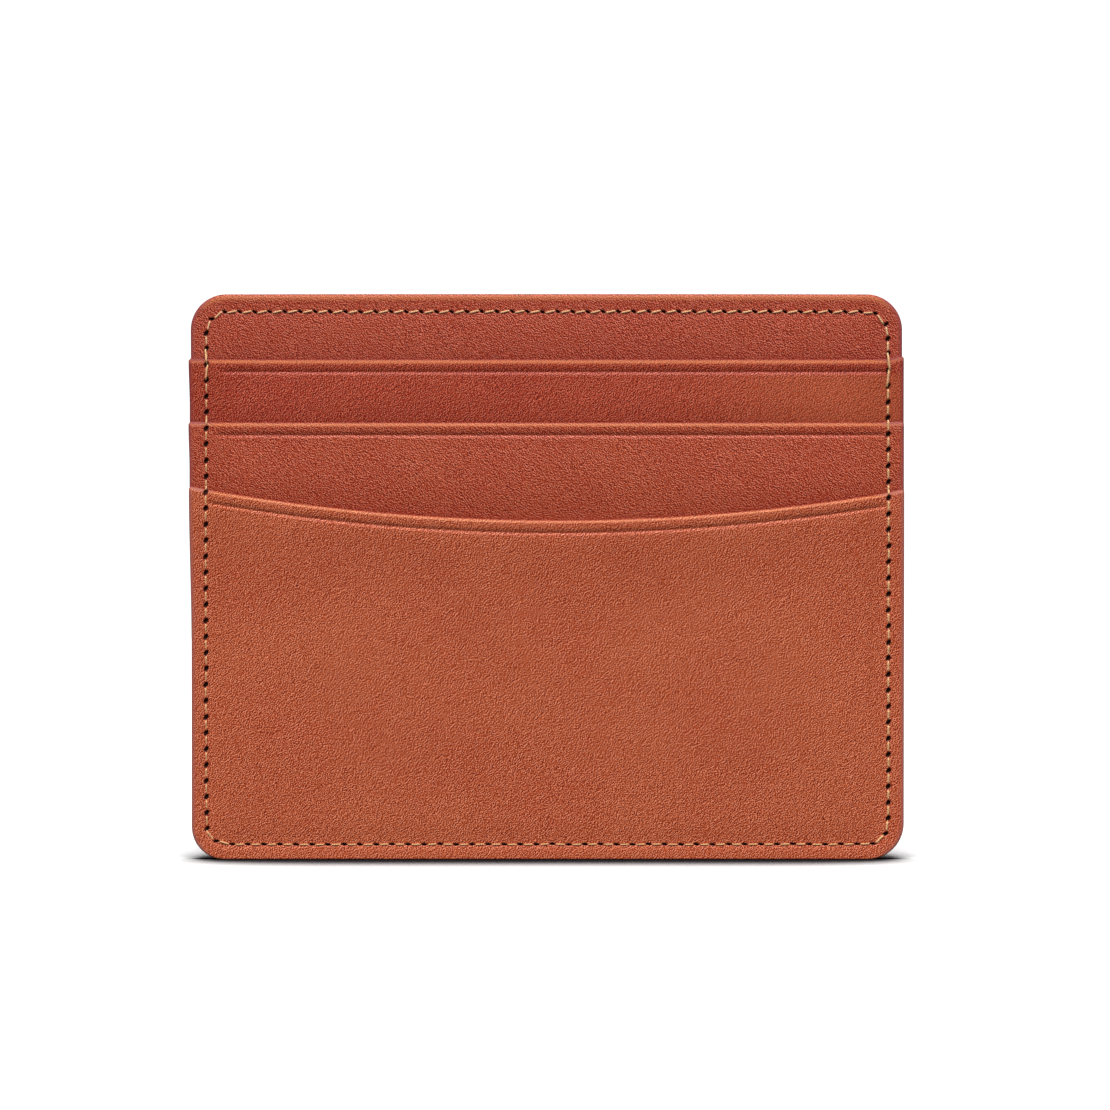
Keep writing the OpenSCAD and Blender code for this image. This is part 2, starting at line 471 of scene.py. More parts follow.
def pocket_outline():
    half = WIDTH / 2
    tip = 0.3
    right = (half, float(POCKET.height(half)) - tip)
    left = (-half, float(POCKET.height(-half)) - tip)
    outline = fill_line(feet(half) + [right] + mouth_line(POCKET, half - tip) + [left])
    return drawn_in(outline, POCKET.top, 0.15, 0.5, 22)


def box_outline(width, low, high):
    return fill_line([(-width / 2, low), (width / 2, low), (width / 2, high), (-width / 2, high)], 1.0)


# ---- point sets


def edge_distance(points, outline):
    """Distance from each point to the closed outline."""
    a = np.array(outline)
    b = np.roll(a, -1, axis=0)
    ab = b - a
    length2 = (ab ** 2).sum(1)
    result = np.empty(len(points))
    for start in range(0, len(points), 2000):
        p = points[start:start + 2000, None, :]
        t = np.clip(((p - a) * ab).sum(2) / length2, 0, 1)
        gap = p - (a + t[..., None] * ab)
        result[start:start + 2000] = np.sqrt((gap ** 2).sum(2).min(1))
    return result


def inside(points, outline):
    """Whether each point is inside the closed outline."""
    a = np.array(outline)
    b = np.roll(a, -1, axis=0)
    result = np.zeros(len(points), bool)
    for (ax, az), (bx, bz) in zip(a, b):
        crosses = (az > points[:, 1]) != (bz > points[:, 1])
        if not crosses.any():
            continue
        at = ax + (points[:, 1] - az) * (bx - ax) / ((bz - az) or 1e-12)
        result ^= crosses & (points[:, 0] < at)
    return result


def rings(outline, offsets):
    """Rows of points that follow an outline inside it, at each of the offsets."""
    a = np.array(outline)
    tangent = np.roll(a, -1, axis=0) - np.roll(a, 1, axis=0)
    tangent /= np.linalg.norm(tangent, axis=1)[:, None]
    normal = np.stack([-tangent[:, 1], tangent[:, 0]], 1)
    rows = []
    for offset in offsets:
        row = a + normal * offset
        kept = row[np.abs(edge_distance(row, outline) - offset) < 0.02]
        rows.append(kept)
    return np.concatenate(rows)


def mouth_rows(mouth, offsets, step=0.45):
    """Rows of points below a mouth, at each of the offsets."""
    xs = np.linspace(-WIDTH / 2 + 0.3, WIDTH / 2 - 0.3, int(WIDTH / step))
    slope = mouth.slope(xs)
    lean = np.sqrt(1 + slope ** 2)
    height = mouth.height(xs)
    return np.concatenate([np.stack([xs + v * slope / lean, height - v / lean], 1) for v in offsets])


def seam_rows(holes, offsets, step=0.42):
    """Rows of points along a seam, at each of the offsets to its side."""
    line = np.array([(x, z) for x, z, _ in holes])
    rows = []
    for (ax, az), (bx, bz) in zip(line[:-1], line[1:]):
        count = max(2, round(math.hypot(bx - ax, bz - az) / step))
        along = np.array([bx - ax, bz - az]) / math.hypot(bx - ax, bz - az)
        side = np.array([-along[1], along[0]])
        for i in range(count):
            p = np.array([ax, az]) + (np.array([bx, bz]) - (ax, az)) * i / count
            rows += [p + side * offset for offset in offsets]
    return np.array(rows)


def slit_points():
    """Points on and around every needle slit."""
    shape = []
    for radius, count in ((0.0, 1), (0.5, 8), (0.85, 12), (1.08, 12), (1.35, 12), (1.8, 12)):
        for i in range(count):
            a = 2 * math.pi * i / count
            shape.append((radius * math.cos(a), radius * math.sin(a)))
    points = []
    for cx, cz, angle, long, wide in SLITS:
        c, s = math.cos(angle), math.sin(angle)
        points += [(cx + u * long * c - v * wide * s, cz + u * long * s + v * wide * c) for u, v in shape]
    return np.array(points)


def lattice(low, high, step):
    """A triangular lattice of points over a box."""
    rows = []
    height = step * math.sqrt(3) / 2
    for i, z in enumerate(np.arange(low[1], high[1], height)):
        xs = np.arange(low[0] + (i % 2) * step / 2, high[0], step)
        rows.append(np.stack([xs, np.full(len(xs), z)], 1))
    return np.concatenate(rows) if rows else np.zeros((0, 2))


def thin(groups):
    """Joins groups of (points, spacing), leaving out points closer than that to an earlier one."""
    cell = 0.5
    grid = {}
    kept = []
    for points, spacing in groups:
        limit = spacing * spacing
        for x, z in points:
            i, j = int(x // cell), int(z // cell)
            near = (q for a in (-1, 0, 1) for b in (-1, 0, 1) for q in grid.get((i + a, j + b), ()))
            if any((x - u) ** 2 + (z - v) ** 2 < limit for u, v in near):
                continue
            grid.setdefault((i, j), []).append((x, z))
            kept.append((x, z))
    return kept


# ---- meshes


def triangulate(outline, points):
    """Triangles over an outline and the points inside it."""
    count = len(outline)
    coords = [Vector(p) for p in outline] + [Vector(p) for p in points]
    edges = [(i, (i + 1) % count) for i in range(count)]
    verts, _, faces, *_ = delaunay_2d_cdt(coords, edges, [], 1, 1e-5)
    return np.array([tuple(v) for v in verts]), np.array(faces)


def rounding(distance, radius):
    """0 on an edge, 1 further in than the radius, along a quarter circle."""
    t = np.clip(distance / radius, 0, 1)
    return np.sqrt(np.clip(1 - (1 - t) ** 2, 0, 1))


def new_object(name, coords, faces, attributes=None):
    """A smooth-shaded mesh object, from coordinates in millimetres."""
    mesh = bpy.data.meshes.new(name)
    mesh.from_pydata((np.asarray(coords) * MM).tolist(), [], [list(map(int, f)) for f in faces])
    for key, values in (attributes or {}).items():
        layer = mesh.attributes.new(key, "FLOAT", "POINT")
        layer.data.foreach_set("value", np.asarray(values, np.float32))
    mesh.polygons.foreach_set("use_smooth", [True] * len(mesh.polygons))
    mesh.validate()
    mesh.update()
    obj = bpy.data.objects.new(name, mesh)
    bpy.context.scene.collection.objects.link(obj)
    return obj


def sheet_mesh(name, outline, outer, inner, outer_points, inner_points, radii, extras=None):
    """A closed sheet between two depth functions, with edges rounded by the outer and the inner radius."""
    front_xz, front_faces = triangulate(outline, outer_points)
    back_xz, back_faces = triangulate(outline, inner_points)
    rim = len(outline)

    def depths(xz):
        x, z = xz[:, 0], xz[:, 1]
        return x, z, edge_distance(xz, outline), outer(x, z), inner(x, z)

    x, z, edge, out, inn = depths(front_xz)
    middle = inn + (out - inn) * 0.45
    front = np.stack([x, -(middle + (out - middle) * rounding(edge, radii[0])), z], 1)
    attributes = {key: fn(x, z, edge) for key, fn in (extras or {}).items()}
    x, z, edge, out, inn = depths(back_xz)
    middle = inn + (out - inn) * 0.45
    back = np.stack([x, -(middle + (inn - middle) * rounding(edge, radii[1])), z], 1)[rim:]
    coords = np.concatenate([front, back])
    shifted = np.where(back_faces < rim, back_faces, back_faces + len(front) - rim)
    faces = np.concatenate([front_faces, shifted[:, ::-1]])
    filled = {key: np.concatenate([values, np.zeros(len(back))]) for key, values in attributes.items()}
    return new_object(name, coords, faces, filled)


def mirrored(obj, name):
    """The same piece on the back half."""
    mesh = obj.data.copy()
    mesh.name = name
    coords = np.empty(len(mesh.vertices) * 3, np.float32)
    mesh.vertices.foreach_get("co", coords)
    coords = coords.reshape(-1, 3)
    coords[:, 1] *= -1
    mesh.vertices.foreach_set("co", coords.ravel())
    mesh.flip_normals()
    mesh.update()
    copy = bpy.data.objects.new(name, mesh)
    bpy.context.scene.collection.objects.link(copy)
    return copy


# ---- shape of the visible faces

MOUTH_OFFSETS = (
    0.05, 0.11, 0.18, 0.27, 0.38, 0.5, 0.62, 0.75, 0.88, 1.02, 1.16, 1.3, 1.43, 1.54, 1.63,
    1.7, 1.76, 1.82, 1.88, 1.94, 2.0, 2.06, 2.13, 2.21, 2.32, 2.5, 2.75
)
EDGE_OFFSETS = (0.04, 0.1, 0.18, 0.28, 0.4, 0.55, 0.75, 1.0)
SEAM_OFFSETS = (-1.1, -0.75, -0.5, -0.3, -0.12, 0.05, 0.25, 0.5, 0.8, 1.2)
BEVEL_FROM = 0.08
BEVEL_DEPTH = 0.165
GROOVE_FROM = 1.06
GROOVE_AT = 1.78
LIP_AT = 2.28
GROOVE_DEPTH = 0.17


def mouth_shape(x, z, mouth):
    """The finished mouth: a bevelled edge, a crease below it, and the lip where the panel goes on."""
    below = mouth.below(x, z)
    bevel = BEVEL_DEPTH * (1 - smooth(BEVEL_FROM, mouth.bevel, below))
    falling = np.clip((below - GROOVE_FROM) / (GROOVE_AT - GROOVE_FROM), 0, 1) ** 1.8
    crease = GROOVE_DEPTH * falling * (1 - smooth(GROOVE_AT, LIP_AT, below)) * mouth.creased(x)
    return -bevel - crease


def crease_shade(x, z, mouth):
    """Where the leather is coloured darker: most on the cut edge of a mouth, less in the bottom of its
    crease; partly the darker cut edge and hot-creased line, partly painted shade of the gap at the edge and
    of the crease.
    """
    below = mouth.below(x, z)
    crease = smooth(1.3, 1.68, below) * (1 - smooth(GROOVE_AT, 1.98, below)) * mouth.creased(x)
    return 0.2 * crease + 0.6 * (1 - smooth(0.07, 0.22, below))


def shade_above(x, z, mouth):
    """Painted shade on the leather behind a mouth: darkest just above the edge, fading upwards."""
    above = -mouth.below(x, z)
    return 0.22 * (1 - smooth(0.1, 0.6, above)) + 0.12 * (1 - smooth(0.3, 4.2, above))


def pits(x, z):
    return PIT_DEPTH * (1 - smooth(0.6, 1.1, slit_radius(x, z)))


# Painted shade inside each needle hole: 1 in the slit, fading out at its rim.
def pit_shade(x, z, edge):
    return 1 - smooth(0.85, 1.15, slit_radius(x, z))


def rim_paint_and_reflection(x, z, edge):
    """1 along the side edges, where they are coloured greyer and cooler: partly edge paint, partly painted
    reflection of the white surroundings.
    """
    return (1 - smooth(0.15, 0.75, edge)) * smooth(46, 48.5, np.abs(x))


def body_extras():
    # Painted highlight, partly rubbed leather, along the rounded top edge that faces the light.
    def wear_and_highlight(x, z, edge):
        rubbed_and_lit = smooth(0.05, 0.4, edge) * (1 - smooth(0.6, 1.05, edge))
        return 0.85 * rubbed_and_lit * smooth(HEIGHT - 2.5, HEIGHT - 1.2, z)

    # Painted shade only: the crease mask here is the shade above the first slot's mouth.
    def crease(x, z, edge):
        return shade_above(x, z, SLOT_1)
    return {"hole_shade": pit_shade, "wear_and_highlight": wear_and_highlight, "crease": crease, "rim": rim_paint_and_reflection}


def panel_extras(mouth, next_mouth=None):
    def crease(x, z, edge):
        if next_mouth:
            # Painted shade above the next mouth joins the crease mask.
            return np.maximum(crease_shade(x, z, mouth), shade_above(x, z, next_mouth))
        below = mouth.below(x, z)
        # A darker band below the pocket's crease, fading out downwards.
        darker_below_crease = 0.12 * smooth(2.4, 4.5, below) * (1 - smooth(6.0, 20.0, below))
        return np.maximum(crease_shade(x, z, mouth), darker_below_crease)

    # Painted highlight, partly rubbed leather, on the bevel below each mouth.
    def wear_and_highlight(x, z, edge):
        below = mouth.below(x, z)
        rubbed_and_lit = smooth(0.08, 0.3, below) * (1 - smooth(0.5 * mouth.bevel, 1.1 * mouth.bevel, below))
        # Lighter leather towards the right end, below the crease.
        lighter_right = smooth(14.0, 42.0, x) * smooth(1.9, 2.6, below)
        return np.maximum(mouth.rub_and_highlight * rubbed_and_lit, mouth.lighter_right * lighter_right)
    return {"hole_shade": pit_shade, "wear_and_highlight": wear_and_highlight, "crease": crease, "rim": rim_paint_and_reflection}


def front_points(outline, coarse, visible_from, mouth=None):
    """Points of a panel's outer face: fine where it shows, coarse where the next layer hides it."""
    box = np.array(outline)
    low, high = box.min(0), box.max(0)
    slits = slit_points()
    slits = slits[slits[:, 1] > visible_from - 1]
    seams = seam_rows(BODY_HOLES, SEAM_OFFSETS)
    top = seam_rows(TOP_HOLES, SEAM_OFFSETS) if high[1] > MOUTH_1 + 4 else np.zeros((0, 2))
    groups = [(slits, 0.05)]
    if mouth:
        groups.append((mouth_rows(mouth, MOUTH_OFFSETS), 0.04))
    groups.append((rings(outline, EDGE_OFFSETS), 0.045))
    groups += [(seams, 0.13), (top, 0.13)]
    shown = lattice((low[0], visible_from - 2), high, FINE)
    hidden = lattice(low, (high[0], visible_from - 1), coarse)
    groups += [(shown, FINE * 0.62), (hidden, coarse * 0.62)]
    kept = []
    for points, spacing in groups:
        if len(points):
            points = points[inside(points, outline)]
            points = points[edge_distance(points, outline) > 0.03]
        kept.append((points, spacing))
    return thin([(np.array(outline), 0.0)] + kept)[len(outline):]


def back_points(outline, step, sewn=False):
    """Points of a sheet's hidden face, with rows along the seam where it is sewn through."""
    box = np.array(outline)
    rows = [rings(outline, (0.08, 0.25, 0.7)), lattice(box.min(0), box.max(0), step)]
    if sewn:
        rows.insert(1, seam_rows(BODY_HOLES, SEAM_OFFSETS))
    points = np.concatenate(rows)
    points = points[inside(points, outline)]
    points = points[edge_distance(points, outline) > 0.05]
    ring = [(np.array(outline), 0.0), (points, 0.13 if sewn else 0.3)]
    return thin(ring)[len(outline):]


# ---- the pieces

FINE = 0.8
MEDIUM = 1.5
COARSE = 3.0
BODY_ROUND = (0.6, 0.2)
FACING_ROUND = (0.2, 0.12)
POCKET_ROUND = (0.22, 0.15)
LINING_ROUND = (0.06, 0.06)
TONGUE_ROUND = (0.05, 0.05)
pieces = {}


def add(name, obj):
    """Keeps a piece of the front half, and its mirror image as the back half's."""
    pieces["front_" + name] = obj
    pieces["back_" + name] = mirrored(obj, "back_" + name)


def make_body():
    outline = body_outline()

    def outer(x, z):
        return depth_body(x, z) - valley(x, z) - pits(x, z)

    def inner(x, z):
        return depth_lining_out(x, z) + CLEAR

    points = front_points(outline, COARSE, MOUTH_1 - 2)
    extras = body_extras()
    hidden = back_points(outline, COARSE)
    obj = sheet_mesh("front_body_panel", outline, outer, inner, points, hidden, BODY_ROUND, extras)
    add("body_panel", obj)


def make_facing(number, low, mouth, top, under, next_mouth):
    outline = facing_outline(low, mouth)

    def outer(x, z):
        return top(x, z) + mouth_shape(x, z, mouth) - valley(x, z) - pits(x, z)

    def inner(x, z):
        return under(x, z) + CLEAR - valley(x, z)

    points = front_points(outline, MEDIUM, next_mouth.height(0) - 3, mouth)
    name = "slot_%d_facing" % number
    extras = panel_extras(mouth, next_mouth)
    hidden = back_points(outline, MEDIUM, sewn=True)
    obj = sheet_mesh("front_" + name, outline, outer, inner, points, hidden, FACING_ROUND, extras)
    add(name, obj)


def make_pocket():
    outline = pocket_outline()

    def outer(x, z):
        return depth_pocket(x, z) + mouth_shape(x, z, POCKET) - valley(x, z) - pits(x, z)

    def inner(x, z):
        return depth_pocket_in(x, z) + CLEAR - valley(x, z)

    points = front_points(outline, COARSE, -3, POCKET)
    extras = panel_extras(POCKET)
    hidden = back_points(outline, MEDIUM, sewn=True)
    obj = sheet_mesh("front_pocket_panel", outline, outer, inner, points, hidden, POCKET_ROUND, extras)
    add("pocket_panel", obj)


def make_lining():
    outline = body_outline(0.25)
    points = back_points(outline, MEDIUM)
    outer, inner = depth_lining_out, depth_lining_in
    obj = sheet_mesh("front_body_lining", outline, outer, inner, points, points, LINING_ROUND)
    add("body_lining", obj)


def make_tongue(number, reach, under):
    outline = box_outline(TONGUE_WIDTH, *reach)

    def inner(x, z):
        return under(x, z) + CLEAR

    def outer(x, z):
        return inner(x, z) + TONGUE_T - CLEAR

    points = back_points(outline, MEDIUM)
    name = "slot_%d_tongue" % number
    obj = sheet_mesh("front_" + name, outline, outer, inner, points, points, TONGUE_ROUND)
    add(name, obj)


make_body()
make_facing(1, FACING_1_LOW, SLOT_1, depth_facing_1, depth_facing_1_in, SLOT_2)
make_facing(2, FACING_2_LOW, SLOT_2, depth_facing_2, depth_facing_2_in, POCKET)
make_pocket()
make_lining()
make_tongue(1, TONGUE_1_Z, depth_body)
make_tongue(2, TONGUE_2_Z, depth_under_2)

# ---- threads

STRAND_R = 0.055
STRAND_OUT = 0.056
THICK = 1.15
BOTTOM_THICK = 0.9
RIGHT_THICK = 1.5
SINK = 0.13
STRANDS = 3
STRAND_SIDES = 6
STITCH_RINGS = 16
TWIST_MM = 1.0
TACK_PITCH = 3.0
TACK_GAP = 0.6


def outermost(x, z):
    """Depth of the face that the seam's thread lies on."""
    depth = np.where(z < SLOT_1.height(x), depth_facing_1(x, z), depth_body(x, z))
    depth = np.where(z < SLOT_2.height(x), depth_facing_2(x, z), depth)
    depth = np.where(z < POCKET.height(x), depth_pocket(x, z), depth)
    return depth - valley(x, z)


def stitch_line(start, end, surface, proud, dive, sink=0.0):
    """Centre line of one stitch: out of a needle hole, along the surface and into the next hole."""
    t = np.linspace(0, 1, STITCH_RINGS)
    x = start[0] + (end[0] - start[0]) * t
    z = start[1] + (end[1] - start[1]) * t
    depth = surface(x, z)
    padded_depth = np.pad(depth, 2, mode="edge")
    bridged = np.max([padded_depth[k:k + STITCH_RINGS] for k in range(5)], axis=0)
    padded_depth = np.pad(bridged, 2, mode="edge")
    bridged = np.mean([padded_depth[k:k + STITCH_RINGS] for k in range(5)], axis=0)
    down = t if start[1] > end[1] else 1 - t
    steep = abs(end[1] - start[1]) / math.hypot(end[0] - start[0], end[1] - start[1])
    sunk = dive * (1 - smooth(0, 0.2, np.minimum(t, 1 - t))) + sink * steep * smooth(0.15, 0.75, down)
    return np.stack([x, -(bridged + proud - sunk), z], 1)


def strands(line, phase, thick):
    """Twisted strands around a centre line, as (coordinates, faces)."""
    tangent = np.gradient(line, axis=0)
    tangent /= np.linalg.norm(tangent, axis=1)[:, None]
    out = np.array([0.0, -1.0, 0.0])
    side = np.cross(tangent, out)
    side /= np.linalg.norm(side, axis=1)[:, None]
    up = np.cross(side, tangent)
    travelled = np.concatenate([[0], np.cumsum(np.linalg.norm(np.diff(line, axis=0), axis=1))])
    coords, faces = [], []
    for k in range(STRANDS):
        turn = phase + 2 * math.pi * (k / STRANDS + travelled / TWIST_MM)
        centre = line + thick * STRAND_OUT * (np.cos(turn)[:, None] * side + np.sin(turn)[:, None] * up)
        base = sum(len(c) for c in coords)
        for j in range(STRAND_SIDES):
            a = 2 * math.pi * j / STRAND_SIDES
            coords.append(centre + thick * STRAND_R * (math.cos(a) * side + math.sin(a) * up))
        rings_n = len(line)
        for j in range(STRAND_SIDES):
            here, there = base + j * rings_n, base + (j + 1) % STRAND_SIDES * rings_n
            faces += [(here + i, there + i, there + i + 1, here + i + 1) for i in range(rings_n - 1)]
        faces.append([base + j * rings_n for j in reversed(range(STRAND_SIDES))])
        faces.append([base + j * rings_n + rings_n - 1 for j in range(STRAND_SIDES)])
    return np.concatenate(coords), faces


def join_lines(name, lines):
    """One mesh object of all the stitches of a thread."""
    coords, faces = [], []
    offset = 0
    for i, line in enumerate(lines):
        right = line[0, 0] > WIDTH / 2 - 4 and line[-1, 0] > WIDTH / 2 - 4
        bottom = max(line[0, 2], line[-1, 2]) < SEAM_BOTTOM + 0.3
        thick = RIGHT_THICK if right else BOTTOM_THICK if bottom else THICK
        some, quads = strands(line, 0.9 * i, thick)
        coords.append(some)
        faces += [[v + offset for v in face] for face in quads]
        offset += len(some)
    return new_object(name, np.concatenate(coords), faces)


def slit_end(hole, level, along, sign):
    """Where the thread leaves a slit (sign 1) or enters it (sign -1), sewing in the direction along."""
    x, z, angle, long, _ = slit(hole, level)
    level_part = abs(math.cos(along))
    flip = 1 if math.cos(angle - along) > 0 else -1
    reach = 0.85 * long * sign
    dx = level_part * flip * math.cos(angle) + (1 - level_part) * math.cos(along)
    dz = level_part * flip * math.sin(angle) + (1 - level_part) * math.sin(along)
    return x + reach * dx, z + reach * dz


def seam_lines(holes, level, surface, proud, dive, sink=0.0):
    """The stitches between the holes of a seam."""
    lines = []
    for a, b in zip(holes[:-1], holes[1:]):
        along = math.atan2(b[1] - a[1], b[0] - a[0])
        start, end = slit_end(a, level, along, 1), slit_end(b, level, along, -1)
        lines.append(stitch_line(start, end, surface, proud, dive, sink * (0.5 if start[0] > 0 else 1.0)))
    return lines


def back_tacks(holes, surface):
    """The doubled stitches that lock both ends of the body seam."""
    lines = []
    for first in (holes[:3], holes[-3:]):
        for number, (a, b) in enumerate(zip(first[:-1], first[1:])):
            shift = 0.2 if number % 2 else -0.16
            start = (a[0] + shift, a[1] - 0.1)
            end = (b[0] - 0.5 * shift, b[1] + 0.1)
            lines.append(stitch_line(start, end, surface, proud=0.2, dive=0.3))
    return lines


def make_threads():
    body = seam_lines(BODY_HOLES, BOTTOM_SLIT, outermost, proud=0.06, dive=0.34, sink=SINK)
    body += back_tacks(BODY_HOLES, outermost)
    pieces["body_seam_needle_thread"] = join_lines("body_seam_needle_thread", body)
    pieces["body_seam_bobbin_thread"] = mirrored(pieces["body_seam_needle_thread"], "body_seam_bobbin_thread")
    top = seam_lines(TOP_HOLES, TOP_SLIT, outermost, proud=0.08, dive=0.34, sink=0.5 * SINK)
    add("top_needle_thread", join_lines("front_top_needle_thread", top))

    def lining_face(x, z):
        return -depth_lining_in(x, z)

    inner = seam_lines(TOP_HOLES, TOP_SLIT, lining_face, proud=0.06, dive=0.2)
    for line in inner:
        line[:, 1] *= -1
    add("top_bobbin_thread", join_lines("front_top_bobbin_thread", inner))
    for number, reach, under in ((1, TONGUE_1_Z, depth_body), (2, TONGUE_2_Z, depth_under_2)):
        low, high = span("front_slot_%d_tack_thread" % number, 0)
        level = sum(span("front_slot_%d_tack_thread" % number, 2)) / 2
        count = round((high - low) / TACK_PITCH)
        step = (high - low) / count

        def tongue_face(x, z, under=under):
            return under(x, z) + TONGUE_T

        row = []
        for i in range(count):
            start = (low + i * step + TACK_GAP / 2, level)
            end = (low + (i + 1) * step - TACK_GAP / 2, level)
            row.append(stitch_line(start, end, tongue_face, proud=-0.12, dive=0.05))
        add("slot_%d_tack_thread" % number, join_lines("front_slot_%d_tack_thread" % number, row))


make_threads()

# ---- materials


class Nodes:
    """Short names for building a material's nodes."""

    def __init__(self, name):
        self.material = bpy.data.materials.new(name)
        self.material.use_nodes = True
        self.tree = self.material.node_tree
        self.shader = self.tree.nodes["Principled BSDF"]

    def node(self, kind, **settings):
        made = self.tree.nodes.new("ShaderNode" + kind)
        for key, value in settings.items():
            setattr(made, key, value)
        return made

    def link(self, source, target):
        if hasattr(source, "is_output"):
            self.tree.links.new(source, target)
        else:
            target.default_value = source

    def math(self, operation, a, b=None, c=None, clamp=False):
        made = self.node("Math", operation=operation, use_clamp=clamp)
        for socket, value in zip(made.inputs, (a, b, c)):
            if value is not None:
                self.link(value, socket)
        return made.outputs[0]

    def mix(self, factor, a, b):
        made = self.node("Mix", data_type="RGBA")
        self.link(factor, made.inputs[0])
        self.link(a, made.inputs[6])
        self.link(b, made.inputs[7])
        return made.outputs[2]

    def spread(self, value, low, high, to_low=0.0, to_high=1.0):
        made = self.node("MapRange", interpolation_type="SMOOTHSTEP")
        for socket, v in zip(made.inputs, (value, low, high, to_low, to_high)):
            self.link(v, socket)
        return made.outputs[0]

    def place(self, shift):
        """Object coordinates in millimetres, moved so that each material has a pattern of its own."""
        coords = self.node("TexCoord").outputs["Object"]
        moved = self.node("Mapping", vector_type="POINT")
        self.link(coords, moved.inputs["Vector"])
        moved.inputs["Scale"].default_value = (1 / MM, 1 / MM, 1 / MM)
        moved.inputs["Location"].default_value = shift
        return moved.outputs[0]

    def noise(self, vector, scale, detail):
        made = self.node("TexNoise")
        self.link(vector, made.inputs["Vector"])
        made.inputs["Scale"].default_value = scale
        made.inputs["Detail"].default_value = detail
        return made.outputs[0]

    def warp(self, vector, scale, amount):
        made = self.node("TexNoise")
        self.link(vector, made.inputs["Vector"])
        made.inputs["Scale"].default_value = scale
        centred = self.node("VectorMath", operation="SUBTRACT")
        self.link(made.outputs["Color"], centred.inputs[0])
        centred.inputs[1].default_value = (0.5, 0.5, 0.5)
        moved = self.node("VectorMath", operation="MULTIPLY_ADD")
        self.link(centred.outputs[0], moved.inputs[0])
        moved.inputs[1].default_value = (amount, amount, amount)
        self.link(vector, moved.inputs[2])
        return moved.outputs[0]

    def level(self, vector):
        """The same coordinates with z moved into y, for a texture that lies in the plane of x and y."""
        parts = self.node("SeparateXYZ")
        self.link(vector, parts.inputs[0])
        made = self.node("CombineXYZ")
        self.link(parts.outputs[0], made.inputs[0])
        self.link(parts.outputs[2], made.inputs[1])
        return made.outputs[0]

    def strokes(self, vector, scale, frequency, directed, turn):
        """Short strokes that lie mostly in one direction."""
        made = self.node("TexGabor", gabor_type="2D")
        self.link(vector, made.inputs["Vector"])
        made.inputs["Scale"].default_value = scale
        made.inputs["Frequency"].default_value = frequency
        made.inputs["Anisotropy"].default_value = directed
        made.inputs["Orientation"].default_value = math.radians(turn)
        return made.outputs["Value"]

    def attribute(self, name):
        made = self.node("Attribute", attribute_type="GEOMETRY", attribute_name=name)
        return made.outputs["Fac"]

    def relief(self, height, depth_mm):
        made = self.node("Bump")
        made.inputs["Strength"].default_value = 1.0
        made.inputs["Distance"].default_value = depth_mm * MM
        self.link(height, made.inputs["Height"])
        self.link(made.outputs[0], self.shader.inputs["Normal"])


def colour(rgb, gain=1.0):
    """A linear colour from one given as it looks on a screen, 0 to 255."""
    linear = [((v / 255 + 0.055) / 1.055) ** 2.4 if v > 10 else v / 255 / 12.92 for v in rgb]
    return (*(gain * v for v in linear), 1.0)


def shifted(rgb, by):
    """A colour moved by an amount for each channel, as it looks on a screen."""
    return colour([max(2.0, v + d) for v, d in zip(rgb, by)])


STROKE_SHARE = 0.52
CROSSING_SHARE = 0.25
PORE_SHARE = 0.23
GRAIN_MM = 0.046
DYE_LOW = (-2, -5, -5)
DYE_HIGH = (3, 5, 4)
# Grain colours: partly the grain's own tone, partly painted shade in the hollows and painted highlight on the
# tops.
HOLLOW_TONE_AND_SHADE = (-78, -78, -70)
TOP_TONE_AND_HIGHLIGHT = (66, 74, 80)
# Painted highlight, partly the lighter colour of rubbed leather, for bevels and the top edge.
WORN_AND_HIGHLIT = (54, 74, 60)
CREASE_AND_SHADE = (-54, -48, -36)
EDGE_PAINT_AND_REFLECTION = (-14, 16, 46)
NEEDLE_HOLE_SHADE = (48, 14, 8)


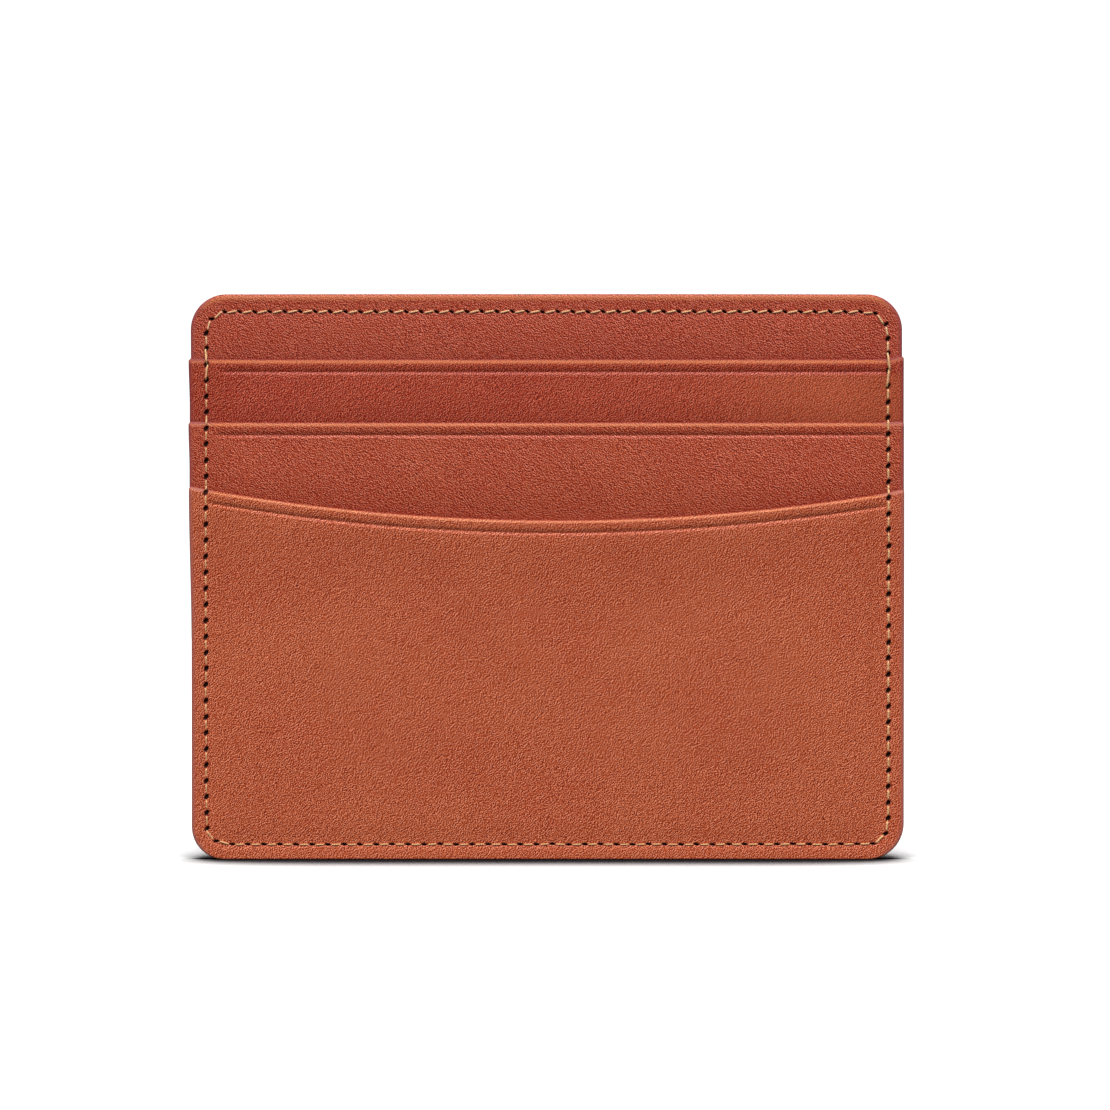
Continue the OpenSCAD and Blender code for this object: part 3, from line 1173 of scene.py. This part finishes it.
def leather(name, rgb, turn, seed):
    """Smooth calf leather: a fine grain of short strokes, hollows coloured darker and tops lighter (partly
    the grain's own tone, partly painted shade and painted highlight of its relief), and uneven dye.
    """
    n = Nodes(name)
    shift = (13.7 * seed, 5.3 * seed, 29.1 * seed)
    flat = n.place(shift)
    strokes = n.strokes(n.level(n.warp(flat, 0.25, 0.5)), 3.5, 1.03, 0.6, turn + 90)
    other = n.place((shift[0] + 71.3, 0, shift[2] + 17.9))
    crossing = n.strokes(n.level(other), 3.2, 1.2, 0.3, turn + 10)
    pores = n.noise(flat, 9.0, 0.0)
    grain = n.math("MULTIPLY", strokes, STROKE_SHARE)
    grain = n.math("MULTIPLY_ADD", crossing, CROSSING_SHARE, grain)
    grain = n.math("MULTIPLY_ADD", pores, PORE_SHARE, grain)
    n.relief(n.math("MULTIPLY_ADD", pores, 0.5, strokes), GRAIN_MM)

    dye = n.spread(n.noise(flat, 0.07, 3.0), 0.3, 0.7)
    tone = n.mix(dye, shifted(rgb, DYE_LOW), shifted(rgb, DYE_HIGH))
    # Grain hollows darker and tops lighter: partly grain tone, partly painted shade and painted highlight.
    tone = n.mix(n.spread(grain, 0.5, 0.4), tone, shifted(rgb, HOLLOW_TONE_AND_SHADE))
    tone = n.mix(n.spread(grain, 0.5, 0.6), tone, shifted(rgb, TOP_TONE_AND_HIGHLIGHT))
    # Bevels and top edge lightened: partly wear, partly painted highlight.
    wear_and_highlight = n.math("MULTIPLY", n.attribute("wear_and_highlight"), n.spread(grain, 0.36, 0.6, 0.35, 0.8), clamp=True)
    tone = n.mix(wear_and_highlight, tone, shifted(rgb, WORN_AND_HIGHLIT))
    # Crease mask: darker creases and cut edges, and painted shade above mouths and in creases.
    tone = n.mix(n.attribute("crease"), tone, shifted(rgb, CREASE_AND_SHADE))
    # Side edges shifted greyer and bluer: partly edge paint, partly painted reflection of the white
    # surroundings.
    tone = n.mix(n.math("MULTIPLY", n.attribute("rim"), 0.8), tone, shifted(rgb, EDGE_PAINT_AND_REFLECTION))
    # Needle holes painted dark brown as the shade inside them.
    tone = n.mix(n.attribute("hole_shade"), tone, colour(NEEDLE_HOLE_SHADE))
    n.link(tone, n.shader.inputs["Base Color"])
    rough = n.spread(grain, 0.36, 0.64, 0.56, 0.44)
    rough = n.math("MULTIPLY_ADD", n.attribute("hole_shade"), 0.35, rough)
    n.link(rough, n.shader.inputs["Roughness"])
    n.shader.inputs["Specular IOR Level"].default_value = 0.2
    return n.material


def cloth(name, rgb, pitch, seed):
    """Fine woven lining: over-and-under threads, a little uneven."""
    n = Nodes(name)
    flat = n.warp(n.place((3.1 * seed, 0, 7.7 * seed)), 0.4, 0.12)
    parts = n.node("SeparateXYZ")
    n.link(flat, parts.inputs[0])
    waves = []
    for axis in (0, 2):
        angle = n.math("MULTIPLY", parts.outputs[axis], math.pi / pitch)
        waves.append(n.math("SINE", angle))
    over = n.math("MULTIPLY", waves[0], waves[1])
    weave = n.spread(over, -1.0, 1.0)
    n.relief(weave, 0.05)
    slub = n.spread(n.noise(flat, 0.8, 3.0), 0.3, 0.7)
    tone = n.mix(weave, colour(rgb, 0.65), colour(rgb, 1.1))
    tone = n.mix(n.math("MULTIPLY", slub, 0.35), tone, colour(rgb, 1.35))
    n.link(tone, n.shader.inputs["Base Color"])
    n.shader.inputs["Roughness"].default_value = 0.85
    n.shader.inputs["Sheen Weight"].default_value = 0.25
    return n.material


def thread(name, rgb, seed):
    """Twisted polyester sewing thread with fine fibres."""
    n = Nodes(name)
    flat = n.place((seed, 0, 2.3 * seed))
    fibre = n.noise(flat, 14.0, 2.0)
    slow = n.spread(n.noise(flat, 0.35, 2.0), 0.35, 0.65)
    tone = n.mix(n.spread(fibre, 0.3, 0.7), colour(rgb, 0.72), colour(rgb, 1.1))
    tone = n.mix(n.math("MULTIPLY", slow, 0.3), tone, colour((rgb[0] * 1.04, rgb[1] * 1.1, rgb[2] * 1.15)))
    n.link(tone, n.shader.inputs["Base Color"])
    n.relief(fibre, 0.02)
    n.shader.inputs["Roughness"].default_value = 0.5
    n.shader.inputs["Sheen Weight"].default_value = 0.3
    return n.material


PIECE_LOOKS = {
    "body_panel": ("body_leather", (152, 46, 16), -30, 1),
    "slot_1_facing": ("facing_leather", (144, 35, 3), 50, 2),
    "slot_2_facing": ("facing_leather", (154, 49, 15), -30, 3),
    "pocket_panel": ("pocket_leather", (168, 68, 28), 48, 4),
}
CLOTHS = {"body_lining": "lining_cloth", "slot_1_tongue": "tongue_cloth", "slot_2_tongue": "tongue_cloth"}
THREADS = {
    "top_needle_thread": "seam_thread",
    "top_bobbin_thread": "seam_thread",
    "slot_1_tack_thread": "tack_thread",
    "slot_2_tack_thread": "tack_thread",
}


def dress(name, material):
    """Puts a piece in the frame: its material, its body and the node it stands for."""
    obj = pieces[name]
    obj.data.materials.clear()
    obj.data.materials.append(material)
    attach(obj, "root")
    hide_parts(name)


for half, seed in (("front", 0.0), ("back", 11.0)):
    for part, (slot, rgb, turn, number) in PIECE_LOOKS.items():
        dress(half + "_" + part, leather(half + "_" + part + "_leather", rgb, turn, number + seed))
    for part, slot in CLOTHS.items():
        dress(half + "_" + part, cloth(half + "_" + part + "_cloth", (92, 66, 50), 0.3, seed))
    for part, slot in THREADS.items():
        dress(half + "_" + part, thread(half + "_" + part, (232, 182, 128), seed))
for number, name in enumerate(("body_seam_needle_thread", "body_seam_bobbin_thread")):
    dress(name, thread(name, (226, 174, 116), 7.0 * number))

# ---- floor, light, camera

CAMERA_LENS = 130.0
SENSOR = 36.0
VIEW_WIDTH = 155.5
VIEW_X = 1.26
VIEW_Z = 42.7
FRONT_Y = -2.0
CONTACT_MM = 22.0
FLOOR_HALF = 1500.0
FLOOR_CONTACT_SHADOW = (0.012, 0.01, 0.012, 1)
FLOOR_PALE = (0.96, 0.96, 0.96, 1)
FLOOR_BOUNCE = (0.16, 0.16, 0.16, 1)
SKY_LIGHT = 0.35
SKY_SEEN = 1.2


def make_floor():
    """A pale floor with a painted contact shadow, darkened by ambient occlusion where something stands on it.
    """
    corners = [(x * FLOOR_HALF * MM, y * FLOOR_HALF * MM, 0) for x, y in ((-1, -1), (1, -1), (1, 1), (-1, 1))]
    mesh = bpy.data.meshes.new("floor")
    mesh.from_pydata(corners, [], [(0, 1, 2, 3)])
    obj = bpy.data.objects.new("floor", mesh)
    bpy.context.scene.collection.objects.link(obj)
    n = Nodes("floor")
    # Painted contact shadow: ambient occlusion darkens the floor's colour near the object.
    near = n.node("AmbientOcclusion", samples=16)
    near.inputs["Distance"].default_value = CONTACT_MM * MM
    open_air = n.spread(near.outputs["AO"], 0.57, 1.0)
    pale = n.mix(open_air, FLOOR_CONTACT_SHADOW, FLOOR_PALE)
    seen = n.node("LightPath").outputs["Is Camera Ray"]
    n.link(n.mix(seen, FLOOR_BOUNCE, pale), n.shader.inputs["Base Color"])
    n.shader.inputs["Roughness"].default_value = 0.9
    n.shader.inputs["Specular IOR Level"].default_value = 0.0
    obj.data.materials.append(n.material)


def sun(name, towards, spread_deg, strength):
    """A soft distant light that shines from the direction towards."""
    data = bpy.data.lights.new(name, "SUN")
    data.energy = strength
    data.angle = math.radians(spread_deg)
    obj = bpy.data.objects.new(name, data)
    bpy.context.scene.collection.objects.link(obj)
    obj.rotation_euler = Vector(towards).to_track_quat("Z", "Y").to_euler()


def make_world():
    """An even white sky, brighter where the camera sees it than as a light."""
    world = bpy.data.worlds.new("studio")
    bpy.context.scene.world = world
    world.use_nodes = True
    tree = world.node_tree
    background = tree.nodes["Background"]
    background.inputs["Color"].default_value = (1, 1, 1, 1)
    path = tree.nodes.new("ShaderNodeLightPath")
    strength = tree.nodes.new("ShaderNodeMix")
    tree.links.new(path.outputs["Is Camera Ray"], strength.inputs[0])
    strength.inputs[2].default_value = SKY_LIGHT
    strength.inputs[3].default_value = SKY_SEEN
    tree.links.new(strength.outputs[0], background.inputs["Strength"])


def make_camera():
    data = bpy.data.cameras.new("camera")
    data.lens = CAMERA_LENS
    data.sensor_width = SENSOR
    distance = VIEW_WIDTH * CAMERA_LENS / SENSOR
    obj = bpy.data.objects.new("camera", data)
    bpy.context.scene.collection.objects.link(obj)
    obj.location = Vector((VIEW_X, FRONT_Y - distance, VIEW_Z)) * MM
    obj.rotation_euler = (math.pi / 2, 0, 0)
    data.clip_start = 0.01
    data.clip_end = 20
    bpy.context.scene.camera = obj


make_floor()
sun("key", towards=(0, -50, 86), spread_deg=32, strength=4.7)
make_world()
make_camera()
bpy.context.scene.view_settings.view_transform = "Standard"
bpy.context.scene.view_settings.look = "None"
